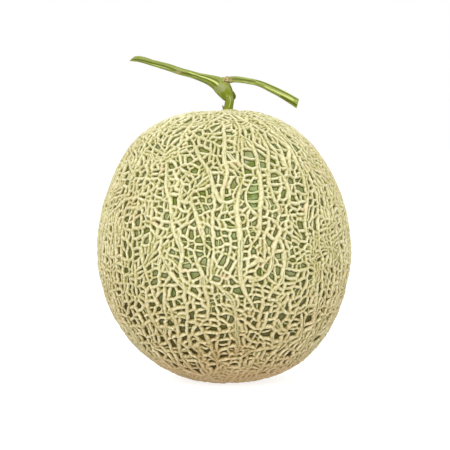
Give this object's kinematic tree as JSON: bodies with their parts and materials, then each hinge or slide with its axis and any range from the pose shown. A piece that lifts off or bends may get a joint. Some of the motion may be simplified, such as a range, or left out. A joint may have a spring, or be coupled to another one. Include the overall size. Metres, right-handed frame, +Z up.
{
  "type": "netted melon",
  "caption": "Round to slightly oval netted melon standing on its blossom end, with its stalk and a cut T-shaped length of vine on top.",
  "frame": {"origin": "on the surface that the melon rests on, under the middle of the fruit", "axes": "+Z up along the fruit from blossom end to stalk, +X along the vine towards its thicker cut end, +Y away from the front"},
  "size_m": [0.14, 0.14, 0.1798],
  "materials": {
    "netted_rind": "matt, rough cork net raised over a smooth grey-green rind",
    "green_stem": "fresh ridged green stem, half matt, with a pale bloom",
    "dry_bract": "dried, matt"
  },
  "bodies": {
    "root": {"melon_fruit": "netted_rind", "fruit_stalk": "green_stem", "vine": "green_stem", "dry_bract_upper": "dry_bract", "dry_bract_lower": "dry_bract"}
  },
  "joints": []
}
